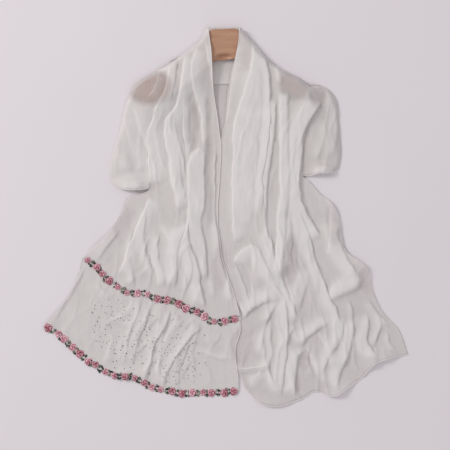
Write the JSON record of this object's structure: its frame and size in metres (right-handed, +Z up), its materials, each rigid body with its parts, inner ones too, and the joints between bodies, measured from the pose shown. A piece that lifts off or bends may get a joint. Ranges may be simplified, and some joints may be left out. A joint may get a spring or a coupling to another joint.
{
  "type": "chiffon hijab on a wooden coat hanger",
  "caption": "Long sheer chiffon scarf laid flat round a wooden coat hanger, its ends fanned out in front, with a beaded panel between embroidered rose trims.",
  "frame": {"origin": "middle of the footprint's box, on the surface that the garment lies on", "axes": "+Z up from the surface, +Y towards the neck, +X to the right as the garment lies, seen from above"},
  "size_m": [0.8784, 0.9088, 0.0338],
  "materials": {
    "chiffon": "sheer matt white chiffon",
    "rose_embroidery": "satin thread embroidery",
    "wood": "satin lacquer"
  },
  "bodies": {
    "root": {"back_stretch": "chiffon", "left_cap": "chiffon", "right_cap": "chiffon", "left_front": "chiffon", "left_end": "chiffon", "right_front": "chiffon", "upper_rose_trim": "rose_embroidery", "lower_rose_trim": "rose_embroidery", "hanger": "wood"}
  },
  "joints": []
}
